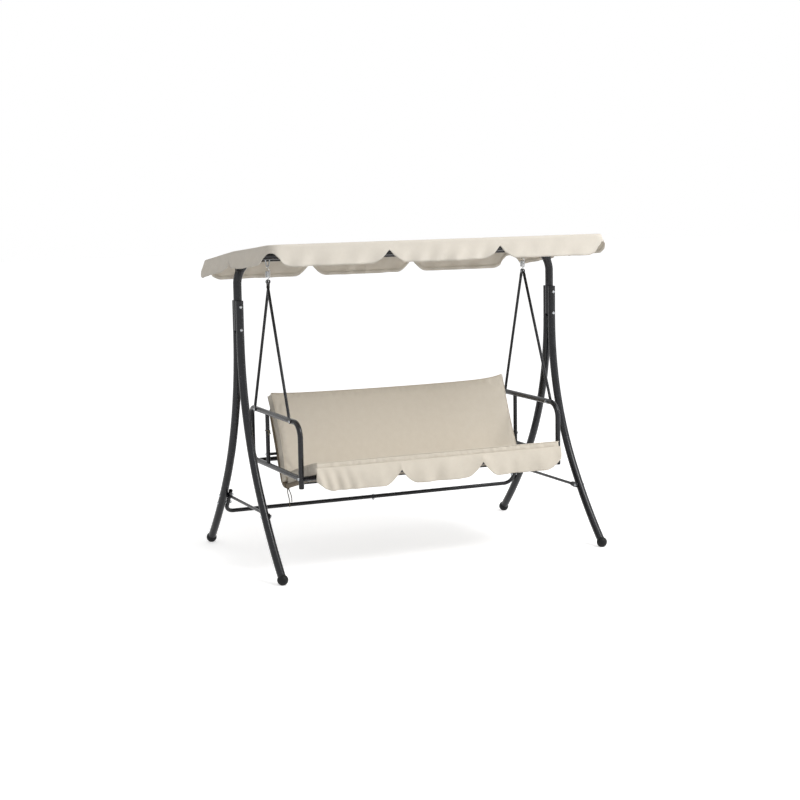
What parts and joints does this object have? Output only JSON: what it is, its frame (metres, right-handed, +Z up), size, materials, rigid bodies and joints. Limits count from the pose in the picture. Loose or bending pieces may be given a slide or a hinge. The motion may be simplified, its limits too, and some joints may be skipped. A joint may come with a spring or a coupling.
{
  "type": "garden swing seat with canopy",
  "caption": "Garden swing seat with curved tube legs, a spring-hung cushioned bench on rod hangers, and a tilting scalloped cloth canopy.",
  "frame": {"origin": "on the floor, under the middle of the stand", "axes": "+X to the right along the beam as seen from the front, +Y to the rear, +Z up; the seat faces -Y"},
  "size_m": [1.729, 1.087, 1.5332],
  "materials": {
    "frame": "glossy anthracite powder coat",
    "black_plastic": "matt moulded",
    "zinc": "zinc plated",
    "spring_steel": "bright plated",
    "canopy_cloth": "plain woven polyester, cream",
    "cushion_cloth": "plain woven polyester, beige",
    "sling_cloth": "open woven mesh cloth, brown"
  },
  "bodies": {
    "stand": {"leg_front_left": "frame", "leg_rear_left": "frame", "leg_front_right": "frame", "leg_rear_right": "frame", "foot_front_left": "black_plastic", "foot_rear_left": "black_plastic", "foot_front_right": "black_plastic", "foot_rear_right": "black_plastic", "brace_left": "frame", "brace_right": "frame", "crossbar_left": "frame", "crossbar_right": "frame", "post_left": "frame", "post_right": "frame", "beam": "frame", "hook_left": "frame", "hook_right": "frame", "post_bolts": "zinc", "brace_bolts": "zinc", "crossbar_bolts": "zinc", "beam_bolts": "zinc"},
    "springs": {"spring_left": "spring_steel", "spring_right": "spring_steel"},
    "seat": {"hanger_front_left": "frame", "hanger_rear_left": "frame", "hanger_front_right": "frame", "hanger_rear_right": "frame", "hanger_bolts": "zinc", "arm_left": "frame", "arm_right": "frame", "upright_left": "frame", "upright_right": "frame", "arm_caps": "black_plastic", "front_rail": "frame", "rear_rail": "frame", "seat_frame_left": "frame", "seat_frame_right": "frame", "seat_rear_bar": "frame", "back_spacers": "black_plastic", "frame_bolts": "zinc", "sling": "sling_cloth", "back_cushion": "cushion_cloth", "seat_cushion": "cushion_cloth", "seat_flap": "canopy_cloth", "tie_loop": "canopy_cloth", "tie_tail_long": "canopy_cloth", "tie_tail_short": "canopy_cloth"},
    "canopy": {"canopy_bar_left": "frame", "canopy_bar_right": "frame", "canopy_front_bar": "frame", "canopy_rear_bar": "frame", "canopy_bolts": "zinc", "canopy_roof": "canopy_cloth", "valance_front": "canopy_cloth", "valance_rear": "canopy_cloth", "valance_left": "canopy_cloth", "valance_right": "canopy_cloth"},
    "knob_left": {"tilt_knob_left": "black_plastic"},
    "knob_right": {"tilt_knob_right": "black_plastic"}
  },
  "joints": [
    {"name": "seat_swing", "type": "hinge", "parent": "stand", "child": "springs", "pos_m": [0, 0, 1.408], "axis": [1, 0, 0], "range_deg": [-20, 20]},
    {"name": "spring_stretch", "type": "slide", "parent": "springs", "child": "seat", "axis": [0, 0, -1], "range_m": [0, 0.025], "stiffness_N_per_m": 20000, "springref_m": -0.0072, "deforming": ["spring_left", "spring_right"]},
    {"name": "canopy_tilt", "type": "hinge", "parent": "stand", "child": "canopy", "pos_m": [0, 0, 1.46], "axis": [1, 0, 0], "range_deg": [-15, 20]},
    {"name": "knob_left_turn", "type": "hinge", "parent": "canopy", "child": "knob_left", "pos_m": [-0.83, 0, 1.46], "axis": [1, 0, 0], "range_deg": [-180, 180]},
    {"name": "knob_right_turn", "type": "hinge", "parent": "canopy", "child": "knob_right", "pos_m": [0.83, 0, 1.46], "axis": [1, 0, 0], "range_deg": [-180, 180]}
  ]
}
